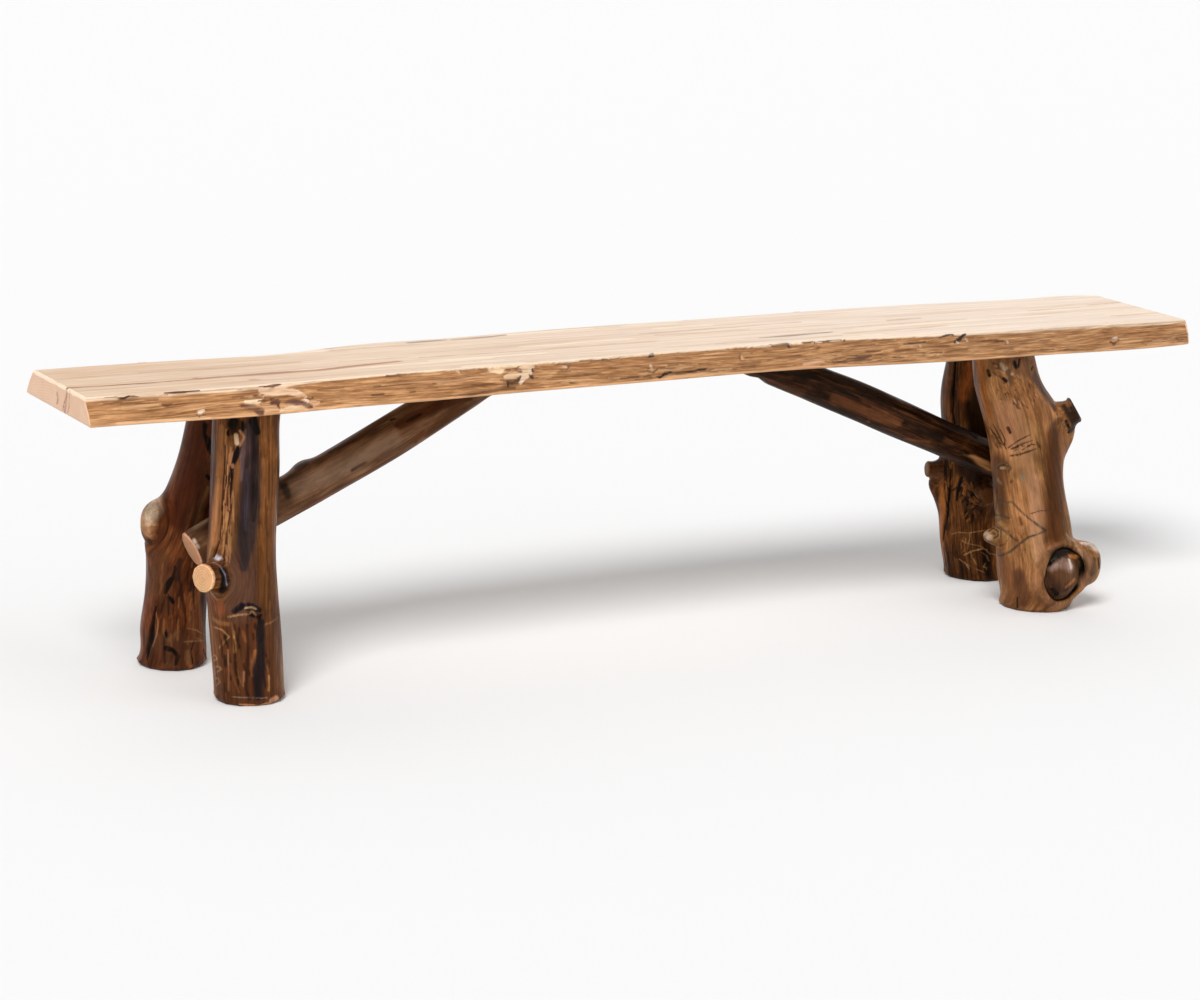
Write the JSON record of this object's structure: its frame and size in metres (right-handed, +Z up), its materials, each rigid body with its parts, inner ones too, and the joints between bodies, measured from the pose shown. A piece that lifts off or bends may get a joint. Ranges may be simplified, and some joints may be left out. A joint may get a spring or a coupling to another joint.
{
  "type": "rustic log bench",
  "caption": "Rustic bench: a live-edge slab seat on splayed, peeled log legs with branch stubs and a burl, braced by diagonal logs that run up to the seat.",
  "frame": {"origin": "on the floor, under the middle of the bench's overall box", "axes": "+X along the seat towards the burled end, +Y from the front edge to the back edge, +Z up"},
  "size_m": [1.829, 0.3324, 0.445],
  "materials": {
    "seat_wood": "semi-gloss clear lacquer over sanded wood",
    "front_left_log": "semi-gloss clear lacquer over peeled log",
    "rear_left_log": "semi-gloss clear lacquer over peeled log",
    "front_right_log": "semi-gloss clear lacquer over peeled log",
    "rear_right_log": "semi-gloss clear lacquer over peeled log",
    "left_brace_log": "semi-gloss clear lacquer over peeled pole",
    "right_brace_log": "semi-gloss clear lacquer over peeled pole",
    "dowel_wood": "bare turned hardwood",
    "screw_steel": "zinc plated"
  },
  "bodies": {
    "root": {"seat_slab": "seat_wood", "leg_front_left": "front_left_log", "leg_rear_left": "rear_left_log", "leg_front_right": "front_right_log", "leg_rear_right": "rear_right_log", "brace_left": "left_brace_log", "brace_right": "right_brace_log", "cross_dowel_left": "dowel_wood", "cross_dowel_right": "dowel_wood", "brace_screw_left": "screw_steel", "brace_screw_right": "screw_steel"}
  },
  "joints": []
}
